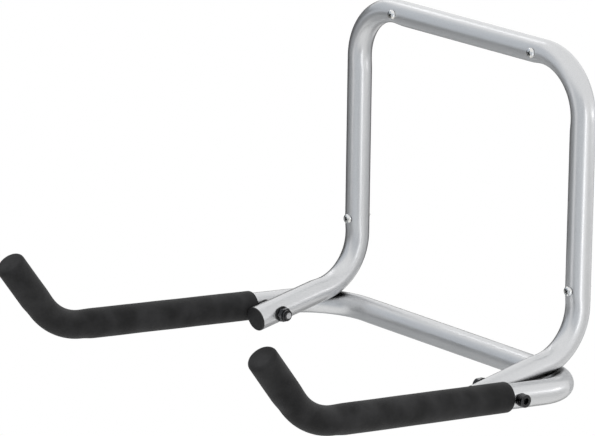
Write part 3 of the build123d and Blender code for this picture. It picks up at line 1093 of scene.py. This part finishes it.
world = bpy.data.worlds.new("studio")
bpy.context.scene.world = world
world.use_nodes = True
sky = world.node_tree
sky.nodes.clear()
ray = add(sky, "ShaderNodeLightPath").outputs
seen = add(sky, "ShaderNodeMath", {0: ray["Is Camera Ray"], 1: ray["Is Glossy Ray"]}, operation="MAXIMUM")
seen = add(sky, "ShaderNodeMath", {0: seen.outputs[0], 1: ray["Is Transmission Ray"]}, operation="MAXIMUM")
soft = add(sky, "ShaderNodeBackground", {"Color": linear("#FFFFFF"), "Strength": AMBIENT})
white = add(sky, "ShaderNodeBackground", {"Color": linear("#FFFFFF"), "Strength": 1.0})
both = add(sky, "ShaderNodeMixShader", {0: seen.outputs[0], 1: soft.outputs[0], 2: white.outputs[0]})
add(sky, "ShaderNodeOutputWorld", {"Surface": both.outputs[0]})
print("floor", FLOOR_DROP, "m below the top bar")

# %% [markdown]
# ## Softboxes
#
# A round tube shows the whole room as stripes, and a lamp that is long in the tube's own direction draws
# one clean streak along it. So the legs, the top bar and the left foot each get a narrow softbox parallel
# to them. A lamp's power is worked out from its area, so that its brightness can be set beside the white
# world's, which has a radiance of 1. The foam and the cards need a light from above. On the tubes that
# lamp would be one more streak, so it is hidden from reflections.

# %% Softboxes
CENTRE = (cad_low + cad_high) / 2
LAMP_WATTS = 4  # per square metre of lamp, for a radiance of 1
BAR_LAMP = Vector((-2.8, 0.47, 2.3))
FOOT_LAMP = Vector((0.64, 0.62, -0.14))
LEFT_FOOT = Vector((-LEG_X, -0.08, -0.30))


def around(azimuth, elevation, distance):
    """Point round the rack: azimuth 0 is the room in front of it, 90 its right side."""
    turn = math.radians(azimuth)
    rise = math.radians(elevation)
    flat = Vector((math.sin(turn), -math.cos(turn), 0)) * math.cos(rise)
    return CENTRE + (flat + UP * math.sin(rise)) * distance


def softbox(name, place, target, along, width, height, radiance, mirrored=True):
    """Rectangular lamp of an even radiance, turned to a target, with its width along a direction."""
    away = (place - target).normalized()
    across = (along - away * along.dot(away)).normalized()
    lamp = bpy.data.lights.new(name, "AREA")
    lamp.shape = "RECTANGLE"
    lamp.size = width
    lamp.size_y = height
    lamp.energy = radiance * LAMP_WATTS * width * height
    box = bpy.data.objects.new(name, lamp)
    bpy.context.scene.collection.objects.link(box)
    box.location = place
    box.rotation_mode = "QUATERNION"
    box.rotation_quaternion = Matrix((across, away.cross(across), away)).transposed().to_quaternion()
    box.visible_camera = False
    box.visible_glossy = mirrored
    print(name, "gives", round(lamp.energy, 1), "W")


over_bar = Vector((BAR_LAMP.x, 0, 0))
above = around(10, 60, 2.0)
softbox("leg_strip", around(82, -14, 1.7), CENTRE, UP, width=1.5, height=0.26, radiance=1.7)
softbox("bar_strip", BAR_LAMP, over_bar, ACROSS, width=2.2, height=0.36, radiance=1.35)
softbox("foot_strip", FOOT_LAMP, LEFT_FOOT, INTO_WALL, width=0.35, height=0.06, radiance=3.6)
softbox("top_light", above, CENTRE, ACROSS, width=1.2, height=1.2, radiance=5.0, mirrored=False)

# %% [markdown]
# ## Flags and cards
#
# White all round would leave the tubes flat and their edges pale. So a photographer hangs cards beside
# the set, and the tubes reflect them as stripes: black flags give the dark lines that show how round a
# tube is, and grey and pale cards give the tones between. Here they show only in reflections.

# %% Flags and cards
CARD_WEAVE_MM = 5


def flag(name, place, width, height, dark, pale):
    """Card, turned to the rack, that shows only in reflections."""
    bm = bmesh.new()
    facing = (place - CENTRE).to_track_quat("Z", "Y").to_matrix().to_4x4()
    stretched = Matrix.Translation(place) @ facing @ Matrix.Diagonal((width, height, 1, 1))
    bmesh.ops.create_grid(bm, x_segments=1, y_segments=1, size=0.5, matrix=stretched)
    card = stage_piece(bm, name, matte_finish(f"{name}_cloth", dark, pale, CARD_WEAVE_MM))
    card.visible_camera = False
    card.visible_diffuse = False
    card.visible_transmission = False
    card.visible_shadow = False


under_left_foot = Vector((-LEG_X, 0.3, -0.77))
behind_frame = Vector((0, 0.2, -0.22))
flag("black_flag", around(262, -8, 1.6), width=1.8, height=1.4, dark="#060606", pale="#0C0C0C")
flag("rear_flag", around(207, -13, 1.6), width=1.6, height=0.75, dark="#141414", pale="#1C1C1C")
flag("grey_flag", around(303, -18, 1.6), width=1.6, height=0.9, dark="#757779", pale="#7E8081")
flag("low_flag", around(264, -43, 1.0), width=1.5, height=0.7, dark="#969899", pale="#9EA0A2")
flag("front_card", around(35, -8, 2.6), width=4.4, height=3.2, dark="#D3D7DC", pale="#DADFE4")
flag("left_card", around(300, 8, 4.6), width=7.4, height=6.0, dark="#DAE0E7", pale="#E2E8EF")
flag("right_card", around(140, -15, 2.6), width=2.6, height=1.0, dark="#DFDFDF", pale="#E7E7E7")
flag("under_card", under_left_foot, width=0.5, height=0.4, dark="#8C8C8C", pale="#969696")
flag("inner_card", behind_frame, width=0.3, height=0.45, dark="#B4B5B6", pale="#BCBDBE")

# %% [markdown]
# ## Camera
#
# The camera stands where the photographer stood: to the right, a little above, and far away with a long
# lens, because the near and far legs look almost equally tall. Its place and lens follow from where the
# tubes' edges lie in the picture, taken as 595 pixels wide. The picture is also tipped by a fraction of
# a degree, which a small roll about the view direction repeats.

# %% Camera
AZIMUTH = math.radians(49.947)
ELEVATION = math.radians(15.552)
ROLL = math.radians(0.740)
AIM = Vector((-0.04638, -0.19243, -0.17074))
DISTANCE = 4.4467
IMAGE_WIDTH = 595
FOCAL_PIXELS = 4539.8
SENSOR_WIDTH = 36.0

sideways = Vector((math.sin(AZIMUTH), -math.cos(AZIMUTH), 0)) * math.cos(ELEVATION)
back = sideways + UP * math.sin(ELEVATION)
camera_data = bpy.data.cameras.new("camera")
camera_data.sensor_width = SENSOR_WIDTH
camera_data.lens = FOCAL_PIXELS / IMAGE_WIDTH * SENSOR_WIDTH
camera = bpy.data.objects.new("camera", camera_data)
bpy.context.scene.collection.objects.link(camera)
camera.location = AIM + back * DISTANCE
camera.rotation_mode = "QUATERNION"
level = back.to_track_quat("Z", "Y").to_matrix()
camera.rotation_quaternion = (level @ Matrix.Rotation(ROLL, 3, "Z")).to_quaternion()
bpy.context.scene.camera = camera
print("lens", round(camera_data.lens, 1), "mm")

# %% [markdown]
# ## View transform
#
# The standard view transform shows each colour about as it is written.

# %% View transform
bpy.context.scene.view_settings.view_transform = "Standard"
